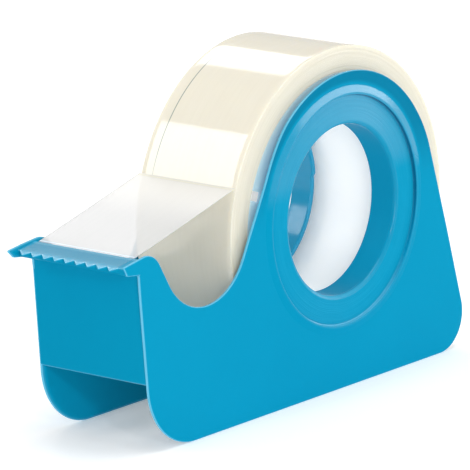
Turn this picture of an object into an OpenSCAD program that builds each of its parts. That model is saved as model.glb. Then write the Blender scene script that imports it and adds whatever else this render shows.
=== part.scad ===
// Hand tape dispenser for small rolls of clear adhesive tape.
//
// Frame: X runs along the roll's axis (+X is the right side plate), -Y is the cutting lip,
// +Z is up, and Z = 0 is the surface that the two side plates stand on.
// The outline of the side plates is laid out as [y, z] measured from the hub's centre line
// and the standing surface, then moved by hub_y so that the whole part is centred on Y = 0.

/* [Tape roll] */
// Width of the adhesive tape
tape_w = 15; // [12:0.5:19]
// Outer radius of the wound tape
tape_r = 21.25; // [19:0.05:21.3]
// Outer radius of the plastic core
core_r = 18; // [15:0.1:18.5]
// Bore radius of the plastic core
core_bore_r = 12.4; // [12.3:0.1:13]
// Width of the drive notch moulded into the core's end faces
core_notch_w = 1.2; // [0.8:0.1:2]
// Depth of the drive notch along the axis
core_notch_d = 0.8; // [0.4:0.1:1.5]
// Thickness given to the free length of tape
lead_t = 0.12; // [0.1:0.02:0.3]

/* [Body] */
// Thickness of each side plate
wall = 0.6; // [0.5:0.05:0.8]
// Gap between each side plate and the roll
side_gap = 0.5; // [0.4:0.05:0.8]
// Thickness of the front wall
front_wall_t = 0.7; // [0.5:0.05:1]
// Height of the front wall's lower edge above the standing surface
front_wall_z = 8.9; // [6:0.1:12]
// Radius of the arch at the top of each side plate
arch_r = 17.75; // [16.75:0.05:18.5]
// Radius of the finger notch in the top edge
notch_r = 8.05; // [7.8:0.05:8.2]
// Radius of the rear bottom corner
heel_r = 4.75; // [3:0.25:6]
// Radius of the front bottom corner
toe_r = 8.6; // [6:0.2:9]

/* [Hub] */
// Radius of the opening in each hub
hub_bore_r = 10.8; // [10:0.1:10.9]
// Wall of the collar that carries the roll
collar_wall = 0.8; // [0.6:0.05:0.8]
// Length of the collar, from the hub's outer face
collar_l = 4; // [3:0.1:5]
// Radius of the sunk ring around each hub
ring_r = 14.55; // [13.5:0.05:15]
// Depth of the sunk ring
ring_d = 0.25; // [0.15:0.05:0.25]
// Height of the hub's centre line
hub_z = 22.7; // [22.5:0.1:23.5]

/* [Cutting lip] */
// Number of teeth
teeth = 9; // [7:1:12]
// How far the teeth reach forwards from the lip's edge
tooth_d = 0.75; // [0.5:0.05:0.9]
// How far each tooth's point drops below the lip's edge
tooth_drop = 0.25; // [0.15:0.05:0.3]

/* [Hidden] */

$fn = 96;
body_col = [0.03, 0.61, 0.78];
core_col = [0.84, 0.88, 0.93];
tape_col = [0.93, 0.91, 0.83];
lead_col = [0.95, 0.95, 0.94];

inner_x = tape_w / 2 + side_gap;         // inner face of a side plate
outer_x = inner_x + wall;                // outer face of a side plate
collar_r = hub_bore_r + collar_wall;
rest_gap = 0.15;                         // roll stands this far off the collar's top
roll_z = hub_z - (core_bore_r - collar_r - rest_gap);
ring_x = outer_x - ring_d;               // outer face of the sunk ring

// Outline circles as [y, z]
arch_c = [0.6, 22.45];
notch_c = [-27.3, 24.3];
hump_c = [-38.6, 21.7];
hump_r = 3;
heel_c = [24.05 - heel_r, heel_r];
toe_c = [-38.6 + toe_r, toe_r];
front_lean = 3.8;                        // front edge leans forwards going up
nose_tip = [-43.35, 24.1];
nose_low = [-42.3, 23.1];
seam_y = -28.4;                          // neck of the plate below the notch
seam = 0.1;

// Point at an angle on a circle
function at(c, r, a) = [c[0] + r * cos(a), c[1] + r * sin(a)];
// Direction of the normal of the outer tangent of two circles, to the left of a to b
function outer_n(a, ra, b, rb) =
    atan2(b[1] - a[1], b[0] - a[0]) + acos((ra - rb) / norm(b - a));
// Direction of the normal of a crossing tangent of two circles
function cross_n(a, ra, b, rb, s) =
    atan2(b[1] - a[1], b[0] - a[0]) + s * acos((ra + rb) / norm(b - a));

rear_n = outer_n(arch_c, arch_r, heel_c, heel_r);
slope_n = cross_n(arch_c, arch_r, notch_c, notch_r, -1);
hump_n = cross_n(hump_c, hump_r, notch_c, notch_r, 1);
toe_pt = at(toe_c, toe_r, 180 + front_lean);

// Front edge at a height
function front_y(z) = toe_pt[0] - (z - toe_pt[1]) * tan(front_lean);

heel_reach = heel_c[0] + heel_r;
hub_y = -(heel_reach + nose_tip[0]) / 2;

module outline() {
    difference() {
        union() {
            polygon([
                at(hump_c, hump_r, 90), nose_tip, nose_low, [front_y(22.6), 22.6],
                toe_pt, [toe_c[0], 0], [heel_c[0], 0],
                at(heel_c, heel_r, rear_n), at(arch_c, arch_r, rear_n), arch_c,
                at(arch_c, arch_r, slope_n), at(notch_c, notch_r, slope_n + 180),
                at(notch_c, notch_r, hump_n + 180), at(hump_c, hump_r, hump_n), hump_c
            ]);
            translate(arch_c) circle(arch_r);
            translate(heel_c) circle(heel_r);
            translate(toe_c) circle(toe_r);
            translate(hump_c) intersection() {
                circle(hump_r);
                translate([0, -hump_r]) square([hump_r, 2 * hump_r]);
            }
        }
        translate(notch_c) circle(notch_r);
    }
}

// Stands a [y, z] outline up between two X positions
module upright(x0, x1) {
    translate([x0, hub_y, 0]) rotate([90, 0, 90]) linear_extrude(x1 - x0) children();
}

module cheek(x0, x1) {
    upright(x0, x1) intersection() {
        outline();
        translate([-60, -1]) square([60 + seam_y, 60]);
    }
}

module side_plate(x0, x1) {
    upright(x0, x1) difference() {
        outline();
        translate([-60, -1]) square([60 + seam_y + seam, 60]);
        translate([0, hub_z]) circle(ring_r);
    }
}

// Ring between two radii, set inwards from the sunk face of the right hub
module hub_tube(l, r0, r1) {
    translate([ring_x, hub_y, hub_z]) rotate([0, -90, 0]) difference() {
        cylinder(h = l, r = r1);
        translate([0, 0, -1]) cylinder(h = l + 2, r = r0);
    }
}

// Collar that reaches inwards into the core and carries the roll
module collar() { hub_tube(collar_l, hub_bore_r, collar_r); }
// Sunk ring between the side plate and the collar
module hub_ring() { hub_tube(wall, collar_r, ring_r); }

module right_cheek() { color(body_col) cheek(inner_x, outer_x); }
module left_cheek() { color(body_col) cheek(-outer_x, -inner_x); }
module right_side_plate() { color(body_col) side_plate(inner_x, outer_x); }
module left_side_plate() { color(body_col) side_plate(-outer_x, -inner_x); }
module right_hub_ring() { color(body_col) hub_ring(); }
module left_hub_ring() { color(body_col) mirror([1, 0, 0]) hub_ring(); }
module right_collar() { color(body_col) collar(); }
module left_collar() { color(body_col) mirror([1, 0, 0]) collar(); }

// Lip: a slab that slopes down to its toothed front edge
lip_back = [-39.4, 24.4];
lip_edge = [-42.6, 23.97];
tooth_tip = [lip_edge[0] - tooth_d, lip_edge[1] - tooth_drop];

module front_wall() {
    color(body_col) upright(-inner_x, inner_x) polygon([
        [front_y(front_wall_z), front_wall_z],
        [front_y(front_wall_z) + front_wall_t, front_wall_z],
        [front_y(22.4) + front_wall_t, 22.4],
        [front_y(22.4), 22.4]
    ]);
}

// Plan of the lip, with its front edge cut into a zigzag of teeth, as [x, y]
module lip_plan() {
    p = 2 * inner_x / teeth;
    polygon(concat(
        [[-inner_x, lip_back[1] - 20], [-inner_x, lip_edge[0]]],
        [for (i = [0:teeth - 1], k = [0, 1])
            [-inner_x + (i + (k + 1) / 2) * p, k == 0 ? tooth_tip[0] : lip_edge[0]]],
        [[inner_x, lip_back[1] - 20]]
    ));
}

module cutting_lip() {
    color(body_col) intersection() {
        upright(-inner_x, inner_x) polygon([
            lip_back, lip_edge, tooth_tip, [nose_low[0], nose_low[1] + 0.02],
            [front_y(22.4), 22.4], [front_y(22.4) + front_wall_t, 22.4],
            [lip_back[0] + 0.25, lip_back[1] - 0.3]
        ]);
        translate([0, hub_y, 0]) linear_extrude(40) lip_plan();
    }
}

// Free length of tape, from the roll to the teeth
lead_start = [-20.22, 29.1];
module tape_lead() {
    t = [0, lead_t];
    lift = [0, 0.02];
    color(lead_col) upright(-tape_w / 2, tape_w / 2) polygon([
        lead_start, lip_back + lift, lip_edge + lift,
        lip_edge + lift + t, lip_back + lift + t, lead_start + t
    ]);
}

module tape_core() {
    color(core_col) translate([0, hub_y, roll_z]) difference() {
        rotate([0, 90, 0]) cylinder(h = tape_w, r = core_r, center = true);
        rotate([0, 90, 0]) cylinder(h = tape_w + 2, r = core_bore_r, center = true);
        for (s = [-1, 1])
            rotate([-18.5, 0, 0])
                translate([s * tape_w / 2, -core_r, 0])
                    cube([2 * core_notch_d, 2.4, core_notch_w], center = true);
    }
}

module wound_tape() {
    color(tape_col) translate([0, hub_y, roll_z]) rotate([0, 90, 0]) difference() {
        cylinder(h = tape_w, r = tape_r, center = true);
        cylinder(h = tape_w + 2, r = core_r, center = true);
    }
}

front_wall();
cutting_lip();
right_cheek();
left_cheek();
tape_lead();
right_side_plate();
right_hub_ring();
right_collar();
left_side_plate();
left_hub_ring();
left_collar();
tape_core();
wound_tape();
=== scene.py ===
import math

import bmesh
import bpy
import numpy as np
from mathutils import Matrix, Vector
from mathutils.geometry import delaunay_2d_cdt


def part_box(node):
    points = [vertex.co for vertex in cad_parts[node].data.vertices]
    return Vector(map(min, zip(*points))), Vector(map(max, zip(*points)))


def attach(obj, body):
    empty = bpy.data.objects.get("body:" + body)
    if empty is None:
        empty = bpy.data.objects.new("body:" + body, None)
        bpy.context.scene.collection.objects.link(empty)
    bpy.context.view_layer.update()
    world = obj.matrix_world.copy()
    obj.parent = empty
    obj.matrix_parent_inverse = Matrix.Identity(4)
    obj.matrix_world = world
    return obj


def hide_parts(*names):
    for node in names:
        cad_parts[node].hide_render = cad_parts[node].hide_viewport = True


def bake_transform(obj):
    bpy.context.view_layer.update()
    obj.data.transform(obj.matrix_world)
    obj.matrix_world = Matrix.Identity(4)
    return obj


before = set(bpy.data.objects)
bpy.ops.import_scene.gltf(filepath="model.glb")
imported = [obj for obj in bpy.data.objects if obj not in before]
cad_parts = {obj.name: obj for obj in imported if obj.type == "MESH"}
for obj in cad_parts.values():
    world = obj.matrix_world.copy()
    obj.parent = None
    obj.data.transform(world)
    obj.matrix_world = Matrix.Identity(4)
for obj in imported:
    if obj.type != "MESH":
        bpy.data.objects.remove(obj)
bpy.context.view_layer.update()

MM = 0.001
# ---------------------------------------------------------------- places, all taken from the frame (mm)
lo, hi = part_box("right_side_plate")
INNER_X, OUTER_X = lo.x / MM, hi.x / MM
lo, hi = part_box("right_collar")
HUB_Y, HUB_Z = (lo.y + hi.y) / 2 / MM, (lo.z + hi.z) / 2 / MM
COLLAR_R = (hi.z - lo.z) / 2 / MM
COLLAR_END, RING_X = lo.x / MM, hi.x / MM
BORE_R = COLLAR_R - 0.8
lo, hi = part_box("right_hub_ring")
RING_R = (hi.z - lo.z) / 2 / MM
RING_IN = lo.x / MM
lo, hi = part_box("wound_tape")
ROLL_Z, ROLL_Y = (lo.z + hi.z) / 2 / MM, (lo.y + hi.y) / 2 / MM
ROLL_R = (hi.z - lo.z) / 2 / MM
TAPE_HW = hi.x / MM
lo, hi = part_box("tape_core")
CORE_R = (hi.z - lo.z) / 2 / MM
CORE_BORE_R = 12.4
lo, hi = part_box("front_wall")
WALL_Z0 = lo.z / MM - 0.2

# outline circles of the side plates, [y, z] from the hub's centre line and the standing surface
ARCH_C, ARCH_R = (0.6, 22.45), 17.75
NOTCH_C, NOTCH_R = (-27.3, 24.3), 8.05
HUMP_C, HUMP_R = (-38.6, 21.7), 3.0
HEEL_R = 4.75
HEEL_C = (24.05 - HEEL_R, HEEL_R)
TOE_R = 8.6
TOE_C = (-38.6 + TOE_R, TOE_R)
LEAN = 3.8
NOSE_TIP, NOSE_LOW = (-43.35, 24.1), (-42.3, 23.1)
SEAM_Y = -28.35
TEETH = 9
TEETH_HW = 7.7
DISH_R = 15.80
NSEG = 180
LIP_BACK, LIP_EDGE = (-39.4, 24.4), (-42.6, 23.97)
TOOTH_TIP = (LIP_EDGE[0] - 0.68, LIP_EDGE[1] - 0.31)


def at(c, r, a):
    return (c[0] + r * math.cos(math.radians(a)), c[1] + r * math.sin(math.radians(a)))


def ang(a, b):
    return math.degrees(math.atan2(b[1] - a[1], b[0] - a[0]))


def dist(a, b):
    return math.hypot(b[0] - a[0], b[1] - a[1])


def outer_n(a, ra, b, rb):
    return ang(a, b) + math.degrees(math.acos((ra - rb) / dist(a, b)))


def cross_n(a, ra, b, rb, s):
    return ang(a, b) + s * math.degrees(math.acos((ra + rb) / dist(a, b)))


REAR_N = outer_n(ARCH_C, ARCH_R, HEEL_C, HEEL_R)
SLOPE_N = cross_n(ARCH_C, ARCH_R, NOTCH_C, NOTCH_R, -1) % 360
HUMP_N = cross_n(HUMP_C, HUMP_R, NOTCH_C, NOTCH_R, 1)
TOE_PT = at(TOE_C, TOE_R, 180 + LEAN)


def front_y(z):
    return TOE_PT[0] - (z - TOE_PT[1]) * math.tan(math.radians(LEAN))


# ---------------------------------------------------------------- mesh helpers
def arc(c, r, a0, a1, step=2.0):
    n = max(2, int(abs(a1 - a0) / step) + 1)
    return [at(c, r, a) for a in np.linspace(a0, a1, n)]


def inset_corner(p0, p1, p2, d):
    """The corner p1 of a counter-clockwise outline, moved inwards by d."""
    a, b, c = (np.array(p, float) for p in (p0, p1, p2))
    u, v = (b - a) / np.linalg.norm(b - a), (c - b) / np.linalg.norm(c - b)
    nu, nv = np.array((-u[1], u[0])), np.array((-v[1], v[0]))
    m = nu + nv
    return b + m * d / (m @ nu)


def fillet(p0, p1, p2, r, d=0.0, n=6):
    """Rounds the corner at p1 of the outline moved inwards by d."""
    r = max(0.02, r - d)
    b = inset_corner(p0, p1, p2, d)
    a, c = b + np.array(p0, float) - np.array(p1, float), b + np.array(p2, float) - np.array(p1, float)
    u, v = (a - b) / np.linalg.norm(a - b), (c - b) / np.linalg.norm(c - b)
    half = math.acos(float(np.clip(u @ v, -1, 1))) / 2
    t = r / math.tan(half)
    m = (u + v) / np.linalg.norm(u + v)
    centre = b + m * r / math.sin(half)
    s, e = b + u * t - centre, b + v * t - centre
    out = []
    for k in np.linspace(0, 1, n):
        w = s * (1 - k) + e * k
        out.append(tuple(centre + w / np.linalg.norm(w) * r))
    return out


def corners(d=0.0, mirror=False):
    tip, low = (NOSE_TIP, NOSE_LOW) if mirror else ((-42.60, 24.08), (-41.95, 22.88))
    hump_top = at(HUMP_C, HUMP_R, 90)
    root = (front_y(22.6), 22.6)
    pts = []
    pts += fillet(hump_top, tip, low, 0.16, d)
    pts += fillet(tip, low, root, 0.35, d)
    # the root corner turns the other way, so its rounding grows by d with the inset
    pts += fillet(low, root, TOE_PT, 0.35 + 2 * d, d)
    pts += arc(TOE_C, TOE_R - d, 180 + LEAN, 270)
    pts += arc(HEEL_C, HEEL_R - d, -90, REAR_N, 3)
    pts += arc(ARCH_C, ARCH_R - d, REAR_N, SLOPE_N)
    pts += arc(NOTCH_C, NOTCH_R + d, SLOPE_N - 180, HUMP_N - 180, 3)
    pts += arc(HUMP_C, HUMP_R - d, HUMP_N, 90, 5)
    return pts


def outline(d=0.0, mirror=False):
    """Side plate outline moved inwards by d, counter-clockwise seen from +X (y to the right, z up)."""
    base, pts = corners(0.0, mirror), corners(d, mirror)
    out = []
    n = len(base)
    for k in range(n):
        j = (k + 1) % n
        if dist(base[k], base[j]) < 1e-3:
            continue
        # long straight runs get extra points, for an even surface
        m = max(1, int(dist(base[k], base[j]) / 1.5))
        p, q = pts[k], pts[j]
        out += [(p[0] + (q[0] - p[0]) * i / m, p[1] + (q[1] - p[1]) * i / m) for i in range(m)]
    res = []
    for y, z in out:
        if mirror and z > 21.5:
            # the left nose reaches a little further forward than the right one
            t = min(1.0, max(0.0, (-38.0 - y) / 2.6))
            h = min(1.0, max(0.0, (z - 22.2) / 0.7))
            y -= 0.85 * t * t * (3 - 2 * t) * h
        # the slope behind the notch runs slightly further back
        t = min(1.0, max(0.0, 1 - abs(y + 15.5) / 5.0)) if z > 14 else 0.0
        y += 0.38 * t * t * (3 - 2 * t)
        if y > 15:
            y += 0.30 * min(1.0, (y - 15) / 6)
        if not mirror and y < -36 and z < 22.6:
            y -= 0.28 * min(1.0, max(0.0, (z - 5.0) / 15.0))
        res.append((y, z))
    return res


def make(name, bm, mat, sharp=35.0, weighted=True, scale=MM):
    bmesh.ops.remove_doubles(bm, verts=bm.verts, dist=0.0008)
    bmesh.ops.recalc_face_normals(bm, faces=bm.faces)
    for f in bm.faces:
        f.smooth = True
    if sharp:
        for e in bm.edges:
            if len(e.link_faces) == 2 and e.calc_face_angle(0) > math.radians(sharp):
                e.smooth = False
    bmesh.ops.scale(bm, vec=(scale,) * 3, verts=bm.verts)
    me = bpy.data.meshes.new(name)
    bm.to_mesh(me)
    bm.free()
    ob = bpy.data.objects.new(name, me)
    bpy.context.scene.collection.objects.link(ob)
    me.materials.append(mat)
    if weighted:
        w = ob.modifiers.new("normals", "WEIGHTED_NORMAL")
        w.weight = 100
        w.keep_sharp = True
    return ob


def lathe(bm, profile, cy, cz, n=180, mirror=False, closed=False, push=None):
    """Turns (radius, x) points about the X axis through (cy, cz)."""
    rings = []
    for i, (r, x) in enumerate(profile):
        ring = []
        for k in range(n):
            a = 2 * math.pi * k / n
            rr, xx = (r, x) if push is None else push(i, r, x, a)
            ring.append(bm.verts.new((-xx if mirror else xx, cy + rr * math.cos(a), cz + rr * math.sin(a))))
        rings.append(ring)
    pairs = list(zip(rings, rings[1:])) + ([(rings[-1], rings[0])] if closed else [])
    for a, b in pairs:
        for k in range(n):
            j = (k + 1) % n
            bm.faces.new((a[k], a[j], b[j], b[k]))
    return rings


def quarter(c, r, a0, a1, n=5):
    return [(c[0] + r * math.cos(math.radians(a)), c[1] + r * math.sin(math.radians(a))) for a in np.linspace(a0, a1, n)]


# ---------------------------------------------------------------- materials
def mat_new(name):
    m = bpy.data.materials.new(name)
    m.use_nodes = True
    nt = m.node_tree
    for n in list(nt.nodes):
        nt.nodes.remove(n)
    out = nt.nodes.new("ShaderNodeOutputMaterial")
    b = nt.nodes.new("ShaderNodeBsdfPrincipled")
    nt.links.new(b.outputs[0], out.inputs[0])
    return m, nt, b, out


class N:
    """Short hand for building node graphs."""

    def __init__(self, nt):
        self.nt = nt

    def node(self, kind, **kw):
        n = self.nt.nodes.new(kind)
        for k, v in kw.items():
            setattr(n, k, v)
        return n

    def link(self, a, b):
        self.nt.links.new(a, b)

    def put(self, sock, v):
        if isinstance(v, bpy.types.NodeSocket):
            self.link(v, sock)
        else:
            sock.default_value = v

    def math(self, op, a, b=0.0, c=None, clamp=False):
        n = self.node("ShaderNodeMath", operation=op, use_clamp=clamp)
        self.put(n.inputs[0], a)
        self.put(n.inputs[1], b)
        if c is not None:
            self.put(n.inputs[2], c)
        return n.outputs[0]

    def pos(self):
        return self.node("ShaderNodeTexCoord").outputs["Object"]

    def xyz(self, v=None):
        n = self.node("ShaderNodeSeparateXYZ")
        self.link(v if v is not None else self.pos(), n.inputs[0])
        return n.outputs

    def combine(self, x, y, z):
        n = self.node("ShaderNodeCombineXYZ")
        for s, v in zip(n.inputs, (x, y, z)):
            self.put(s, v)
        return n.outputs[0]

    def noise(self, vec, scale, detail=4.0, rough=0.55, distortion=0.0):
        n = self.node("ShaderNodeTexNoise")
        self.link(vec, n.inputs["Vector"])
        n.inputs["Scale"].default_value = scale
        n.inputs["Detail"].default_value = detail
        n.inputs["Roughness"].default_value = rough
        n.inputs["Distortion"].default_value = distortion
        return n.outputs["Fac"]

    def maprange(self, v, a, b, c, d, smooth=False):
        n = self.node("ShaderNodeMapRange")
        n.interpolation_type = "SMOOTHSTEP" if smooth else "LINEAR"
        self.put(n.inputs[0], v)
        for i, x in enumerate((a, b, c, d)):
            self.put(n.inputs[i + 1], x)
        return n.outputs[0]

    def ramp(self, fac, stops):
        n = self.node("ShaderNodeValToRGB")
        self.link(fac, n.inputs[0])
        el = n.color_ramp.elements
        while len(el) < len(stops):
            el.new(0.5)
        for e, (p, c) in zip(el, stops):
            e.position = p
            e.color = (*c, 1)
        return n.outputs[0]

    def mix(self, fac, a, b):
        n = self.node("ShaderNodeMix", data_type="RGBA")
        self.put(n.inputs[0], fac)
        for s, v in ((n.inputs[6], a), (n.inputs[7], b)):
            if isinstance(v, bpy.types.NodeSocket):
                self.link(v, s)
            else:
                s.default_value = (*v, 1)
        return n.outputs[2]

    def bump(self, height, strength, dist_m, normal=None):
        n = self.node("ShaderNodeBump")
        n.inputs["Strength"].default_value = strength
        n.inputs["Distance"].default_value = dist_m
        self.link(height, n.inputs["Height"])
        if normal is not None:
            self.link(normal, n.inputs["Normal"])
        return n.outputs[0]

    def radius(self, cy, cz, xyz=None):
        """Distance from the X-parallel axis through (cy, cz) mm, in mm, and the angle."""
        s = xyz or self.xyz()
        y = self.math("SUBTRACT", self.math("MULTIPLY", s[1], 1000.0), cy)
        z = self.math("SUBTRACT", self.math("MULTIPLY", s[2], 1000.0), cz)
        r = self.math("SQRT", self.math("ADD", self.math("MULTIPLY", y, y), self.math("MULTIPLY", z, z)))
        return r, self.math("ARCTAN2", z, y), y, z


def lin(r, g, b):
    def f(v):
        v /= 255.0
        return v / 12.92 if v <= 0.04045 else ((v + 0.055) / 1.055) ** 2.4
    return (f(r), f(g), f(b))


def blue_plastic():
    m, nt, b, out = mat_new("blue_moulded_plastic")
    g = N(nt)
    p = g.pos()
    s = g.xyz(p)
    r, a, y, z = g.radius(HUB_Y, HUB_Z, s)
    ax = g.math("ABSOLUTE", g.math("MULTIPLY", s[0], 1000.0))
    edge = g.node("ShaderNodeAttribute", attribute_name="edge").outputs["Fac"]
    # faint flow marks and batch variation in the moulded colour
    broad = g.noise(p, 55.0, 3.0, 0.5, 0.6)
    fine = g.noise(p, 900.0, 3.0, 0.6)
    col = g.mix(broad, (0.0008, 0.246, 0.421), (0.0011, 0.272, 0.454))
    col = g.mix(g.maprange(fine, 0.35, 0.75, 0.0, 0.12), col, (0.0009, 0.234, 0.406))
    # turned rings on the sunk face of each hub
    on_face = g.math("MULTIPLY", g.maprange(ax, RING_X - 0.12, RING_X - 0.04, 0.0, 1.0),
                     g.math("MULTIPLY", g.maprange(r, BORE_R + 0.15, BORE_R + 0.5, 0.0, 1.0), g.maprange(r, RING_R - 0.30, RING_R - 0.12, 1.0, 0.0)))
    rr = g.combine(g.math("MULTIPLY", r, 1.0), g.math("MULTIPLY", a, 0.15), 0.0)
    rings1 = g.noise(rr, 3.4, 3.0, 0.7)
    rings2 = g.noise(rr, 9.0, 2.0, 0.6)
    rings = g.math("ADD", g.math("MULTIPLY", rings1, 0.6), g.math("MULTIPLY", rings2, 0.4))
    masked = g.math("MULTIPLY", rings, on_face)
    col = g.mix(g.math("MULTIPLY", on_face, g.maprange(rings, 0.38, 0.62, 0.0, 0.26)), col, (0.015, 0.34, 0.54))
    # painted shade: a darker colour on the narrow rim round the upper half of the hub, where less light comes up from
    # the floor
    painted_top_shade = g.math("MULTIPLY", g.maprange(r, DISH_R + 0.0, DISH_R + 0.7, 0.0, 1.0, True), g.maprange(r, ARCH_R + 0.3, ARCH_R + 1.4, 1.0, 0.0, True))
    painted_top_shade = g.math("MULTIPLY", painted_top_shade, g.maprange(z, 0.0, 10.0, 0.0, 0.75, True))
    col = g.mix(painted_top_shade, col, (0.0006, 0.150, 0.270))
    # painted highlight: where the 'edge' attribute is positive the colour is painted lighter, for light caught by
    # rounded edges, the hub's step and mouth, and the tooth tips
    col = g.mix(g.math("MULTIPLY", edge, 0.76, clamp=True), col, (0.14, 0.55, 0.77))
    # painted shade: where the 'edge' attribute is negative the colour is painted darker, for the shaded side of the
    # hub's step and under the teeth
    col = g.mix(g.math("MULTIPLY", edge, -0.9, clamp=True), col, (0.0004, 0.09, 0.19))
    g.link(col, b.inputs["Base Color"])
    # the hub and the edges are polished, the flat walls have a fine matt grain
    bead = g.math("MULTIPLY", g.maprange(ax, INNER_X, INNER_X + 0.2, 0.0, 1.0), g.maprange(r, DISH_R - 0.15, DISH_R + 0.03, 1.0, 0.0, True))
    inside = g.maprange(r, RING_R, RING_R + 0.4, 1.0, 0.0)
    upper = g.maprange(z, 2.5, 6.0, 0.0, 1.0, True)
    mouth = g.maprange(r, BORE_R + 0.45, BORE_R + 0.55, 1.0, 0.0)
    polish = g.math("MAXIMUM", g.math("MAXIMUM", g.math("MULTIPLY", bead, upper), g.math("MULTIPLY", inside, g.math("MULTIPLY_ADD", on_face, g.math("SUBTRACT", g.maprange(z, 2.0, 13.0, 0.07, 0.80, True), 0.40), 0.40))), g.math("MAXIMUM", edge, mouth))
    rough = g.math("ADD", g.maprange(fine, 0.3, 0.7, 0.13, 0.19), g.math("MULTIPLY", on_face, 0.22))
    rough = g.math("ADD", rough, g.maprange(polish, 0.0, 1.0, 0.22, 0.0))
    near = g.math("GREATER_THAN", s[0], 0.0)
    near_bore = g.math("MULTIPLY", g.maprange(r, BORE_R + 0.05, BORE_R + 0.15, 1.0, 0.0), g.math("MULTIPLY", near, g.maprange(ax, RING_X - 0.6, RING_X - 0.42, 1.0, 0.0)))
    rough = g.math("ADD", rough, g.math("MULTIPLY", near_bore, 0.32))
    level = g.math("MULTIPLY", g.maprange(polish, 0.0, 1.0, 0.01, 0.30), g.maprange(near_bore, 0.0, 1.0, 1.0, 0.30))
    level = g.math("MULTIPLY", level, g.maprange(g.math("MULTIPLY", mouth, near), 0.0, 1.0, 1.0, 0.5))
    far_bore = g.math("MULTIPLY", g.maprange(r, BORE_R + 0.05, BORE_R + 0.15, 1.0, 0.0), g.math("LESS_THAN", s[0], 0.0))
    g.link(g.math("MULTIPLY_ADD", far_bore, 0.12, level), b.inputs["Specular IOR Level"])
    g.link(rough, b.inputs["Roughness"])
    g.link(g.math("MULTIPLY", on_face, 0.88), b.inputs["Anisotropic"])
    g.link(g.combine(0.0, y, z), b.inputs["Tangent"])
    b.inputs["IOR"].default_value = 1.5
    n1 = g.bump(fine, 0.10, 0.00002)
    n2 = g.bump(broad, 0.20, 0.00008, n1)
    n3 = g.bump(masked, 0.8, 0.00006, n2)
    g.link(n3, b.inputs["Normal"])
    return m


def core_plastic():
    m, nt, b, out = mat_new("milky_core_plastic")
    g = N(nt)
    p = g.pos()
    s = g.xyz(p)
    r, a, y, z = g.radius(ROLL_Y, ROLL_Z, s)
    ax = g.math("ABSOLUTE", g.math("MULTIPLY", s[0], 1000.0))
    cloud = g.noise(p, 160.0, 4.0, 0.6, 0.4)
    end = g.maprange(ax, TAPE_HW - 0.10, TAPE_HW - 0.03, 0.0, 1.0, True)
    body = g.mix(cloud, (0.905, 0.920, 0.945), (0.950, 0.958, 0.97))
    # painted shade and reflection: the outer part of each end face, in the narrow gap by the side plate, is coloured
    # blue-grey for the shadow there and the blue light thrown back from the plate
    face = g.mix(cloud, (0.38, 0.61, 0.76), (0.44, 0.66, 0.80))
    outer = g.maprange(r, CORE_BORE_R + 0.4, CORE_BORE_R + 1.6, 0.0, 1.0, True)
    col = g.mix(g.math("MULTIPLY", end, outer), body, face)
    g.link(col, b.inputs["Base Color"])
    # painted light: the core glows faintly, standing in for light passing through the milky plastic
    g.link(col, b.inputs["Emission Color"])
    b.inputs["Emission Strength"].default_value = 0.16
    fine = g.noise(p, 1500.0, 2.0, 0.5)
    g.link(g.maprange(fine, 0.3, 0.7, 0.30, 0.42), b.inputs["Roughness"])
    b.inputs["Subsurface Weight"].default_value = 1.0
    b.inputs["Subsurface Radius"].default_value = (1.0, 1.05, 1.15)
    b.inputs["Subsurface Scale"].default_value = 0.006
    b.inputs["Specular IOR Level"].default_value = 0.4
    g.link(g.bump(g.math("ADD", fine, cloud), 0.2, 0.00003), b.inputs["Normal"])
    return m


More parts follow.
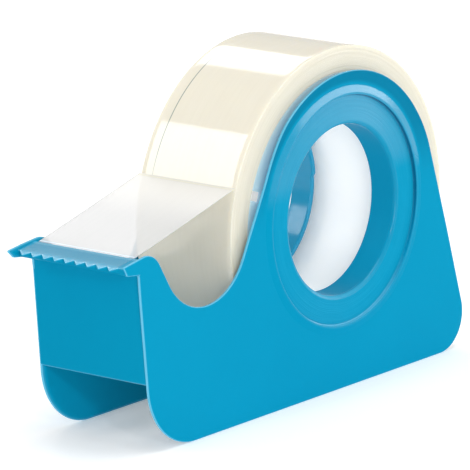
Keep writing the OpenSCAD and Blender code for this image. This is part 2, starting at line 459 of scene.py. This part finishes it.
def wound_film():
    m, nt, b, out = mat_new("wound_clear_film")
    g = N(nt)
    p = g.pos()
    s = g.xyz(p)
    r, a, y, z = g.radius(ROLL_Y, ROLL_Z, s)
    x = g.math("MULTIPLY", s[0], 1000.0)
    ax = g.math("ABSOLUTE", x)
    end = g.maprange(ax, TAPE_HW - 0.06, TAPE_HW - 0.02, 0.0, 1.0)
    # wraps: on the end faces fine rings, on the outside faint lengthwise streaks
    wraps = g.noise(g.combine(g.math("MULTIPLY", r, 1.0), g.math("MULTIPLY", a, 0.2), g.math("MULTIPLY", x, 0.02)), 14.0, 4.0, 0.7)
    wide = g.noise(g.combine(g.math("MULTIPLY", r, 1.0), g.math("MULTIPLY", a, 0.6), 0.0), 1.6, 3.0, 0.6)
    streak = g.noise(g.combine(g.math("MULTIPLY", x, 1.0), g.math("MULTIPLY", a, 1.2), 3.0), 2.2, 4.0, 0.6)
    cloud = g.noise(p, 70.0, 3.0, 0.5, 0.3)
    face = g.mix(g.maprange(wraps, 0.35, 0.65, 0.0, 1.0), (0.540, 0.516, 0.425), (0.594, 0.571, 0.483))
    face = g.mix(g.maprange(wide, 0.4, 0.7, 0.0, 0.35), face, (0.54, 0.512, 0.415))
    side = g.mix(g.maprange(streak, 0.3, 0.7, 0.0, 1.0), (0.655, 0.620, 0.522), (0.672, 0.637, 0.539))
    side = g.mix(g.maprange(cloud, 0.4, 0.7, 0.0, 0.25), side, (0.59, 0.565, 0.465))
    # paler bands along both edges, where light leaves through the end faces
    rim = g.maprange(ax, TAPE_HW - 1.5, TAPE_HW, 0.0, 0.25, True)
    side = g.mix(rim, side, (0.68, 0.66, 0.58))
    # the edge of a deeper turn that shows through near the left edge
    line = g.math("SUBTRACT", 1.0, g.math("MULTIPLY", g.math("ABSOLUTE", g.math("SUBTRACT", x, -TAPE_HW + 1.75)), 9.0), clamp=True)
    phi = g.maprange(a, math.radians(105), math.radians(118), 0.0, 1.0, True)
    phj = g.maprange(a, math.radians(150), math.radians(168), 1.0, 0.0, True)
    below = g.math("MULTIPLY", line, g.math("SUBTRACT", 1.0, phj))
    line = g.math("MULTIPLY", line, g.math("MULTIPLY", phi, phj))
    side = g.mix(g.math("MULTIPLY", line, 0.85), side, (0.06, 0.13, 0.12))
    side = g.mix(g.math("MULTIPLY", below, 0.22), side, (0.40, 0.42, 0.38))
    col = g.mix(end, side, face)
    g.link(col, b.inputs["Base Color"])
    # painted light: the wound film glows faintly, standing in for light carried through the clear turns
    g.link(col, b.inputs["Emission Color"])
    b.inputs["Emission Strength"].default_value = 0.18
    b.inputs["Subsurface Weight"].default_value = 0.6
    b.inputs["Subsurface Radius"].default_value = (1.0, 0.88, 0.62)
    b.inputs["Subsurface Scale"].default_value = 0.0014
    g.link(g.mix(end, (0.10,) * 3, (0.38,) * 3), b.inputs["Roughness"])
    b.inputs["Specular IOR Level"].default_value = 0.6
    b.inputs["IOR"].default_value = 1.48
    h = g.math("ADD", g.math("MULTIPLY", wraps, end), g.math("MULTIPLY", streak, 0.06))
    g.link(g.bump(h, 0.5, 0.00003), b.inputs["Normal"])
    return m


def clear_film():
    m, nt, b, out = mat_new("clear_film")
    g = N(nt)
    p = g.pos()
    s = g.xyz(p)
    x = g.math("MULTIPLY", s[0], 1000.0)
    ax = g.math("ABSOLUTE", x)
    streak = g.noise(g.combine(g.math("MULTIPLY", x, 1.0), g.math("MULTIPLY", s[1], 40.0), 0.0), 1.1, 4.0, 0.6)
    edge = g.maprange(ax, TAPE_HW - 0.14, TAPE_HW - 0.02, 0.0, 1.0)
    col = g.mix(g.maprange(streak, 0.3, 0.7, 0.0, 1.0), (0.735, 0.735, 0.735), (0.745, 0.745, 0.74))
    # painted: the colour warms towards the roll, standing in for the roll showing through the film
    col = g.mix(g.maprange(s[1], (HUB_Y - 31) * MM, (HUB_Y - 22) * MM, 0.0, 1.0, True), col, (0.765, 0.755, 0.725))
    col = g.mix(g.math("MULTIPLY", edge, 0.75), col, (0.50, 0.52, 0.52))
    g.link(col, b.inputs["Base Color"])
    # it shows least where it lies stuck on the cutting lip
    ymm = g.math("SUBTRACT", g.math("MULTIPLY", s[1], 1000.0), HUB_Y + LIP_BACK[0])
    free = g.maprange(ymm, -0.1, 0.3, 0.10, 1.0)
    body = g.math("ADD", g.maprange(ymm, 1.0, 17.0, 0.56, 0.66), g.math("MULTIPLY", g.math("SUBTRACT", streak, 0.5), 0.03))
    alpha = g.math("MULTIPLY", g.math("ADD", body, g.math("MULTIPLY", edge, 0.2)), free)
    # the fold over the rear edge of the lip catches the light
    fold = g.math("SUBTRACT", 1.0, g.math("MULTIPLY", g.math("ABSOLUTE", g.math("SUBTRACT", ymm, 0.22)), 3.0), clamp=True)
    # painted shadow: a dark beige line where it leaves the roll
    leave_shadow_line = g.math("SUBTRACT", 1.0, g.math("MULTIPLY", g.math("ABSOLUTE", g.math("SUBTRACT", ymm, -20.3 - 0.35 - LIP_BACK[0])), 4.0), clamp=True)
    alpha = g.math("MAXIMUM", alpha, g.math("MULTIPLY", fold, 0.85))
    g.link(g.math("MAXIMUM", alpha, g.math("MULTIPLY", leave_shadow_line, 0.9)), b.inputs["Alpha"])
    col = g.mix(fold, col, (0.74, 0.84, 0.92))
    col = g.mix(leave_shadow_line, col, (0.66, 0.64, 0.53))
    g.link(col, b.inputs["Base Color"])
    # painted light: the free length glows faintly towards the roll, standing in for light passing through it
    g.link(col, b.inputs["Emission Color"])
    g.link(g.maprange(ymm, 8.0, 16.0, 0.0, 0.11, True), b.inputs["Emission Strength"])
    b.inputs["IOR"].default_value = 1.48
    b.inputs["Specular IOR Level"].default_value = 0.15
    g.link(g.maprange(streak, 0.3, 0.7, 0.28, 0.32), b.inputs["Roughness"])
    g.link(g.bump(streak, 0.05, 0.00003), b.inputs["Normal"])
    return m


BLUE, CORE, FILM, CLEAR = blue_plastic(), core_plastic(), wound_film(), clear_film()

# ---------------------------------------------------------------- side plates with their hubs


def side_shell(name, mirror, parent_body):
    bm = bmesh.new()
    ro = 0.12
    loops = []
    for a in np.linspace(0, 90, 5):  # outer rounding
        loops.append((ro - ro * math.sin(math.radians(a)), OUTER_X - ro + ro * math.cos(math.radians(a))))
    loops += [(0.0, OUTER_X - 0.30), (0.03, OUTER_X - 0.34), (0.10, OUTER_X - 0.37)]
    # the moulding thins towards its edge on the inside
    loops += [(0.30, INNER_X + 0.10), (0.42, INNER_X + 0.02), (0.50, INNER_X)]
    sx = -1 if mirror else 1
    # painted highlight: the 'edge' attribute marks the outer rounded rim of the plate, which the material paints
    # lighter
    edge = bm.verts.layers.float.new("edge")
    rings = []
    for i, (d, x) in enumerate(loops):
        ring = []
        for v in outline(d, mirror):
            b = bm.verts.new((sx * x, HUB_Y + v[0], v[1]))
            b[edge] = (0.0, 0.35, 0.9, 1.0, 1.0, 1.0, 0.8, 0.2, 0.0, 0.0, 0.0)[i]
            ring.append(b)
        rings.append(ring)
    n = len(rings[0])
    for a, b in zip(rings, rings[1:]):
        for k in range(n):
            j = (k + 1) % n
            bm.faces.new((a[k], a[j], b[j], b[k]))
    # flat faces between the outline and the hub's dish
    hole = [(DISH_R * math.cos(2 * math.pi * k / NSEG), HUB_Z + DISH_R * math.sin(2 * math.pi * k / NSEG)) for k in range(NSEG)]
    for ring, (d, x) in ((rings[0], loops[0]), (rings[-1], loops[-1])):
        outer = [(v.co.y - HUB_Y, v.co.z) for v in ring]
        pts = [Vector(p) for p in outer + hole]
        edges = [(k, (k + 1) % n) for k in range(n)] + [(n + k, n + (k + 1) % NSEG) for k in range(NSEG)]
        faces = [list(range(n)), list(range(n, n + NSEG))[::-1]]
        vs, es, fs, ov, oe, of_ = delaunay_2d_cdt(pts, edges, faces, 1, 1e-5)
        made = {}
        inner = [bm.verts.new((sx * x, HUB_Y + p[0], p[1])) for p in hole]
        both = ring + inner
        for k, v in enumerate(vs):
            made[k] = both[ov[k][0]] if ov[k] else bm.verts.new((sx * x, HUB_Y + v.x, v.y))
        for f in fs:
            # a triangle with every corner on the dish's circle lies inside it
            if all(abs(math.hypot(vs[k].x, vs[k].y - HUB_Z) - DISH_R) < 1e-3 for k in f):
                continue
            try:
                bm.faces.new([made[k] for k in f])
            except ValueError:
                pass
    # hub: raised bead, step down to the sunk ring, rounded mouth, bore, collar, inner face
    prof = []
    rise = 0.22
    for k in range(13):
        t = k / 12
        up = t if t < 0.8 else 0.8 + 0.2 * (1 - (1 - (t - 0.8) / 0.2) ** 2) * 0.6
        prof.append((DISH_R - t * (DISH_R - RING_R - 0.16), OUTER_X + rise * up / 0.92))
    top = OUTER_X + rise
    prof += [(RING_R + 0.10, top - 0.01), (RING_R + 0.05, top - 0.035), (RING_R + 0.015, top - 0.08), (RING_R, top - 0.14)]
    prof += [(RING_R - 0.005, RING_X + 0.10), (RING_R - 0.03, RING_X + 0.04), (RING_R - 0.08, RING_X + 0.008), (RING_R - 0.15, RING_X)]
    for r in np.arange(RING_R - 0.35, BORE_R + 0.6, -0.2):
        prof.append((float(r), RING_X))
    end_x = COLLAR_END + (0.6 if mirror else 0.0)  # the left collar is a little shorter
    mr = 0.12 if mirror else 0.50
    prof += quarter((BORE_R + mr, RING_X - mr), mr, 90, 180, 7)
    for x in np.linspace(RING_X - 0.8, end_x + 0.4, 5):
        prof.append((BORE_R, float(x)))
    prof += quarter((BORE_R + 0.22, end_x + 0.22), 0.22, 180, 270, 5)
    prof += quarter((COLLAR_R - 0.3, end_x + 0.3), 0.3, 270, 360, 5)
    prof += [(COLLAR_R, end_x + 1.5), (COLLAR_R, RING_IN - 0.2)]
    prof += [(COLLAR_R + 0.02, RING_IN - 0.08), (COLLAR_R + 0.08, RING_IN - 0.02), (COLLAR_R + 0.2, RING_IN)]
    prof += [(RING_R - 0.3, RING_IN), (RING_R + 0.05, RING_IN + 0.04), (RING_R + 0.3, INNER_X - 0.04), (RING_R + 0.6, INNER_X), (DISH_R, INNER_X)]
    def push(i, r, x, a):
        # the left collar's rim is a little shorter over its lower rear part, with a small step at the end of it
        a = math.degrees(a)
        a = a - 360 if a > 180 else a
        if mirror and x < end_x + 0.7 and -105 < a < 4:
            return r, x + 0.30 * (end_x + 0.7 - x) / 0.7
        return r, x

    hub = lathe(bm, prof, HUB_Y, HUB_Z, NSEG, mirror, push=push)
    for (r, x), ring in zip(prof, hub):
        painted_light_and_shade = 0.0
        # painted highlight and shade on the hub's step: light on its lower left, dark on its upper right
        if RING_R - 0.10 < r < RING_R + 0.08 and RING_X - 0.01 < x < OUTER_X + 0.16:
            for k, v in enumerate(ring):
                c = math.cos(2 * math.pi * k / NSEG - math.radians(238))
                v[edge] = 0.8 * min(1, c * 1.6) if c > 0 else 0.85 * max(-1, c * 1.8)
            continue
        # painted highlight on the lower part of the bore mouth
        if abs(r - BORE_R) < 0.30 and x > RING_X - 0.30:
            for k, v in enumerate(ring):
                v[edge] = 0.35 * max(0.0, math.cos(2 * math.pi * k / NSEG - math.radians(255))) ** 2
            continue
        # painted highlight: the collar's end rim is painted faintly lighter
        if BORE_R + 0.1 < r < COLLAR_R and x < end_x + 0.1:
            painted_light_and_shade = 0.1
        for v in ring:
            v[edge] = painted_light_and_shade
    bmesh.ops.remove_doubles(bm, verts=bm.verts, dist=0.0008)
    # rows of edges across the neck, 1 mm apart
    for k in range(19):
        y = HUB_Y + SEAM_Y - 9 + k
        bmesh.ops.bisect_plane(bm, geom=bm.verts[:] + bm.edges[:] + bm.faces[:], plane_co=(0, y, 0), plane_no=(0, 1, 0))
    ob = make(name, bm, BLUE, 40)
    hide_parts(*[f"{parent_body.split('_')[0]}_{k}" for k in ("cheek", "side_plate", "hub_ring", "collar")])
    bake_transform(ob)
    return ob


right_shell = side_shell("right_side_shell", False, "right_side")
left_shell = side_shell("left_side_shell", True, "left_side")

# ---------------------------------------------------------------- front wall and toothed lip
def front_piece():
    bm = bmesh.new()
    half = TEETH_HW
    end = OUTER_X - 0.2
    xs = [-end, -INNER_X]
    per = 8
    for t in range(TEETH):
        for k in range(per):
            xs.append(-half + (t + k / per) * 2 * half / TEETH)
    xs += [half, INNER_X, end]

    def w_of(x):
        if abs(x) >= half - 1e-6:
            return 0.0
        f = ((x + half) / (2 * half / TEETH)) % 1.0
        return 1 - abs(2 * f - 1)

    t_wall = 0.7
    proud = 0.012

    def profile(w):
        L = lambda a, b, k: (a[0] + (b[0] - a[0]) * k, a[1] + (b[1] - a[1]) * k)
        tip = L(LIP_EDGE, TOOTH_TIP, w)
        tip_low = (tip[0] + 0.02, tip[1] - 0.07)
        foot = (NOSE_LOW[0] + 0.02, NOSE_LOW[1] + 0.03)
        p = []
        p += [(LIP_BACK[0] + 0.28, LIP_BACK[1] - 0.30), (LIP_BACK[0] + 0.25, LIP_BACK[1] - 0.14), (LIP_BACK[0] + 0.14, LIP_BACK[1] - 0.03), (LIP_BACK[0], LIP_BACK[1])]
        for k in (0.2, 0.4, 0.6, 0.8):
            p.append(L(LIP_BACK, LIP_EDGE, k))
        p.append(L(LIP_EDGE, (LIP_EDGE[0] + 0.15, LIP_EDGE[1] + 0.02), 1 - w * 0.9))
        p.append(tip)
        p.append(tip_low)
        for k in (0.33, 0.66):
            p.append(L(tip_low, foot, k))
        p += [foot, (foot[0] + 0.12, foot[1] - 0.08), (-41.4, 22.93), (-40.4, 22.74), (-39.95, 22.60), (front_y(22.2) - proud - 0.1, 22.40), (front_y(21.9) - proud, 22.05)]
        for z in np.linspace(21.0, WALL_Z0 + 0.6, 10):
            p.append((front_y(float(z)) - proud, float(z)))
        p += [(front_y(WALL_Z0 + 0.2) - proud, WALL_Z0 + 0.22), (front_y(WALL_Z0) + 0.05, WALL_Z0 + 0.07), (front_y(WALL_Z0) + 0.18, WALL_Z0)]
        p += [(front_y(WALL_Z0) + t_wall - 0.15, WALL_Z0), (front_y(WALL_Z0) + t_wall - 0.03, WALL_Z0 + 0.06), (front_y(WALL_Z0) + t_wall, WALL_Z0 + 0.2)]
        for z in np.linspace(WALL_Z0 + 1.2, 22.4, 8):
            p.append((front_y(float(z)) + t_wall, float(z)))
        p.append((front_y(23.2) + t_wall - 0.05, 23.2))
        return p

    edge = bm.verts.layers.float.new("edge")
    cols = []
    for x in xs:
        col = [bm.verts.new((x, HUB_Y + q[0], q[1])) for q in profile(w_of(x))]
        # painted highlights and shade in the 'edge' attribute: light along the lip's rear edge, the tooth tips and the
        # wall's bottom edge, darker under the teeth
        for k, painted_light_and_shade in ((0, 0.3), (1, 0.9), (2, 1.0), (3, 0.8), (4, 0.12), (5, 0.12), (6, 0.14), (7, 0.18), (8, 0.30), (9, 1.0), (10, 0.15), (11, -0.16), (12, -0.16), (13, -0.12), (30, 0.0), (31, 0.45), (32, 0.7), (33, 0.1)):
            col[k][edge] = painted_light_and_shade
        cols.append(col)
    m = len(cols[0])
    for a, b in zip(cols, cols[1:]):
        for k in range(m):
            j = (k + 1) % m
            bm.faces.new((a[k], b[k], b[j], a[j]))
    bm.faces.new(cols[0])
    bm.faces.new(cols[-1][::-1])
    ob = make("front_wall_and_cutter", bm, BLUE, 32)
    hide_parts("front_wall", "cutting_lip")
    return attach(ob, "front_block")


front = front_piece()

# ---------------------------------------------------------------- core
def core_piece():
    bm = bmesh.new()
    c = 0.25
    hw = TAPE_HW
    prof = []
    for s in (1, -1):
        seq = quarter((CORE_BORE_R + c, hw - c), c, 180, 90, 5) + [(CORE_BORE_R + 1.0, hw), ((CORE_BORE_R + CORE_R) / 2, hw), (CORE_R - 0.7, hw)] + quarter((CORE_R - 0.15, hw - 0.15), 0.15, 90, 0, 4)
        seq = [(r - 0.005 if r > CORE_R - 0.001 else r, x) for r, x in seq]
        if s == -1:
            seq = [(r, -x) for r, x in seq[::-1]]
        prof += seq
        if s == 1:
            prof += [(CORE_R - 0.005, x) for x in np.linspace(hw - 1.5, -hw + 1.5, 6)]
        else:
            prof += [(CORE_BORE_R, x) for x in np.linspace(-hw + 1.5, hw - 1.5, 8)]
    lathe(bm, prof, ROLL_Y, ROLL_Z, 160, closed=True)
    ob = make("tape_core_ring", bm, CORE, 40, weighted=False)
    # drive notches in both end faces
    cut = bmesh.new()
    a = math.radians(180 - 18.5)
    for s in (1, -1):
        mat4 = Matrix.Translation((s * hw * MM, ROLL_Y * MM, ROLL_Z * MM)) @ Matrix.Rotation(a, 4, "X") @ Matrix.Translation((0, (CORE_R - 0.2) * MM, 0))
        g = bmesh.ops.create_cube(cut, size=1.0)
        bmesh.ops.scale(cut, vec=(1.6 * MM, 2.2 * MM, 1.2 * MM), verts=g["verts"])
        bmesh.ops.transform(cut, matrix=mat4, verts=g["verts"])
    me = bpy.data.meshes.new("cut")
    cut.to_mesh(me)
    cut.free()
    cutter = bpy.data.objects.new("cut", me)
    bpy.context.scene.collection.objects.link(cutter)
    mod = ob.modifiers.new("notch", "BOOLEAN")
    mod.operation = "DIFFERENCE"
    mod.solver = "EXACT"
    mod.object = cutter
    bpy.context.view_layer.update()
    dg = bpy.context.evaluated_depsgraph_get()
    new = bpy.data.meshes.new_from_object(ob.evaluated_get(dg))
    ob.modifiers.clear()
    ob.data = new
    bpy.data.objects.remove(cutter)
    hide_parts("tape_core")
    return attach(ob, "roll")


core = core_piece()

# ---------------------------------------------------------------- wound tape
def roll_piece():
    bm = bmesh.new()
    rng = np.random.default_rng(7)
    hw = TAPE_HW
    # the edges of the turns never line up exactly: a slow drift with small steps
    radii = np.linspace(CORE_R, ROLL_R - 0.04, 34)
    drift = np.cumsum(rng.normal(0, 0.010, len(radii)))
    drift = drift - np.linspace(drift[0], drift[-1], len(radii))
    drift = np.clip(drift, -0.03, 0.03) - 0.035
    prof = [(float(r), hw + float(d)) for r, d in zip(radii, drift)]
    prof += [(ROLL_R - 0.012, hw - 0.02), (ROLL_R, hw - 0.06)]
    prof += [(ROLL_R, float(x)) for x in np.linspace(hw - 0.8, -hw + 0.8, 16)]
    prof += [(ROLL_R, -hw + 0.06), (ROLL_R - 0.012, -hw + 0.02)]
    drift2 = np.clip(np.cumsum(rng.normal(0, 0.010, len(radii))), -0.03, 0.03) - 0.035
    prof += [(float(r), -hw - float(d)) for r, d in zip(radii[::-1], drift2)]
    prof += [(CORE_R, float(x)) for x in np.linspace(-hw + 1, hw - 1, 4)]
    lathe(bm, prof, ROLL_Y, ROLL_Z, 240, closed=True)
    ob = make("wound_tape_roll", bm, FILM, 50, weighted=False)
    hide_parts("wound_tape")
    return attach(ob, "roll")


roll = roll_piece()

# ---------------------------------------------------------------- free length of tape
def lead_piece():
    bm = bmesh.new()
    hw = TAPE_HW
    start = np.array((-20.3, 29.22))
    back = np.array((LIP_BACK[0] + 0.05, LIP_BACK[1] + 0.03))
    edge = np.array((LIP_EDGE[0], LIP_EDGE[1] + 0.02))
    t = 0.07
    span = 2 * TEETH_HW / TEETH

    def w_of(x):
        f = ((x + TEETH_HW) / span) % 1.0
        return 1 - abs(2 * f - 1)

    xs = sorted(set([round(v, 5) for v in np.linspace(-hw, hw, 31)] + [round(-TEETH_HW + k * span / 2, 5) for k in range(2 * TEETH + 1) if abs(-TEETH_HW + k * span / 2) < hw]))
    rows = []
    for x in xs:
        row = []
        u = abs(x) / hw
        for k in range(15):
            f = k / 14
            q = start + (back - start) * f
            sag = -0.22 * math.sin(math.pi * f) * (1 - 0.35 * u * u)
            lift = 0.10 * math.sin(math.pi * f) * u ** 4
            row.append((q[0], q[1] + sag + lift))
        for k in range(1, 5):
            q = back + (edge - back) * k / 5
            row.append((q[0], q[1]))
        w = w_of(x)
        q = edge + (np.array(TOOTH_TIP) - np.array(LIP_EDGE)) * (w * 0.92 - 0.05)
        row.append((q[0], q[1]))
        rows.append(row)
    top = [[bm.verts.new((x, HUB_Y + q[0], q[1] + t)) for q in row] for x, row in zip(xs, rows)]
    low = [[bm.verts.new((x, HUB_Y + q[0], q[1])) for q in row] for x, row in zip(xs, rows)]
    n, m = len(xs), len(rows[0])
    for i in range(n - 1):
        for k in range(m - 1):
            bm.faces.new((top[i][k], top[i + 1][k], top[i + 1][k + 1], top[i][k + 1]))
            bm.faces.new((low[i][k], low[i][k + 1], low[i + 1][k + 1], low[i + 1][k]))
        bm.faces.new((top[i][0], low[i][0], low[i + 1][0], top[i + 1][0]))
        bm.faces.new((top[i][-1], top[i + 1][-1], low[i + 1][-1], low[i][-1]))
    for i in (0, n - 1):
        for k in range(m - 1):
            bm.faces.new((top[i][k], top[i][k + 1], low[i][k + 1], low[i][k]))
    ob = make("free_tape_end", bm, CLEAR, 30, weighted=False)
    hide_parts("tape_lead")
    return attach(ob, "front_block")


lead = lead_piece()

# ---------------------------------------------------------------- studio
scene = bpy.context.scene
scene.view_settings.view_transform = "Standard"
scene.view_settings.look = "None"


def floor():
    me = bpy.data.meshes.new("studio_floor")
    s = 6.0
    me.from_pydata([(-s, -s, -0.00002), (s, -s, -0.00002), (s, s, -0.00002), (-s, s, -0.00002)], [], [(0, 1, 2, 3)])
    ob = bpy.data.objects.new("studio_floor", me)
    scene.collection.objects.link(ob)
    m, nt, b, out = mat_new("pale_floor")
    b.inputs["Base Color"].default_value = (0.93, 0.93, 0.93, 1)
    b.inputs["Roughness"].default_value = 0.8
    b.inputs["Specular IOR Level"].default_value = 0.1
    b.inputs["Emission Color"].default_value = (1, 1, 1, 1)
    b.inputs["Emission Strength"].default_value = 0.18
    me.materials.append(m)


floor()
world = bpy.data.worlds.new("studio")
scene.world = world
world.use_nodes = True
world.node_tree.nodes["Background"].inputs[0].default_value = (1, 1, 1, 1)
world.node_tree.nodes["Background"].inputs[1].default_value = 0.55


def area(name, loc, target, sx, sy, power, along):
    """A rectangular light that faces the target, its sy side along that direction."""
    L = bpy.data.lights.new(name, "AREA")
    L.shape = "RECTANGLE"
    L.size, L.size_y = sx, sy
    L.energy = power
    o = bpy.data.objects.new(name, L)
    o.location = loc
    zax = (Vector(loc) - Vector(target)).normalized()
    yax = (Vector(along) - zax * zax.dot(Vector(along))).normalized()
    q = Matrix.Identity(3)
    q.col[0], q.col[1], q.col[2] = yax.cross(zax), yax, zax
    o.rotation_mode = "QUATERNION"
    o.rotation_quaternion = q.to_quaternion()
    scene.collection.objects.link(o)
    return o


C0 = Vector((0, HUB_Y * MM, HUB_Z * MM))


def from_dir(name, d, distance, sx, sy, radiance, along=(0, 0, 1)):
    """A soft box seen from the object in direction d, with that brightness."""
    v = Vector(d).normalized()
    return area(name, C0 + v * distance, C0, sx, sy, radiance * math.pi * sx * sy, along)


# low key from the right front, two soft boxes that lie as white bands on the roll, one behind for the hub's bead
from_dir("key_right_front", (0.82, -0.57, 0.04), 1.2, 0.60, 0.45, 5.6)
from_dir("strip_left_front", (-0.614, -0.575, 0.49), 1.2, 0.17, 0.66, 5.6, (0, -0.402, -0.481))
from_dir("strip_left_back", (-0.614, 0.45, 0.64), 1.2, 0.22, 0.42, 4.0, (0, -0.28, 0.197))
from_dir("softbox_right_back", (0.54, 0.84, 0.07), 1.2, 0.95, 0.30, 6.0)
from_dir("kicker_right_front", (0.78, -0.50, 0.35), 1.2, 0.08, 0.10, 85.0)
from_dir("softbox_top", (0.10, -0.05, 1.0), 1.3, 0.68, 0.68, 4.9, (0, 1, 0))

# ---------------------------------------------------------------- camera
f_px = 5110.6
cam_data = bpy.data.cameras.new("camera")
cam = bpy.data.objects.new("camera", cam_data)
scene.collection.objects.link(cam)
cam_data.sensor_width = 36.0
cam_data.lens = f_px / 470 * 36.0
cam_data.clip_start, cam_data.clip_end = 0.01, 50
R = Vector((0.77770318, 0.62835806, -0.01854484))
U = Vector((-0.13512052, 0.19590056, 0.97127))
D = Vector((0.61393828, -0.75285398, 0.23725656))
m = Matrix.Identity(3)
m.col[0], m.col[1], m.col[2] = R, U, D
cam.rotation_mode = "QUATERNION"
cam.rotation_quaternion = m.to_quaternion()
cam.location = Vector((0.3886524, HUB_Y * MM - 0.4877925, 22.806 * MM + 0.1479972))
scene.camera = cam
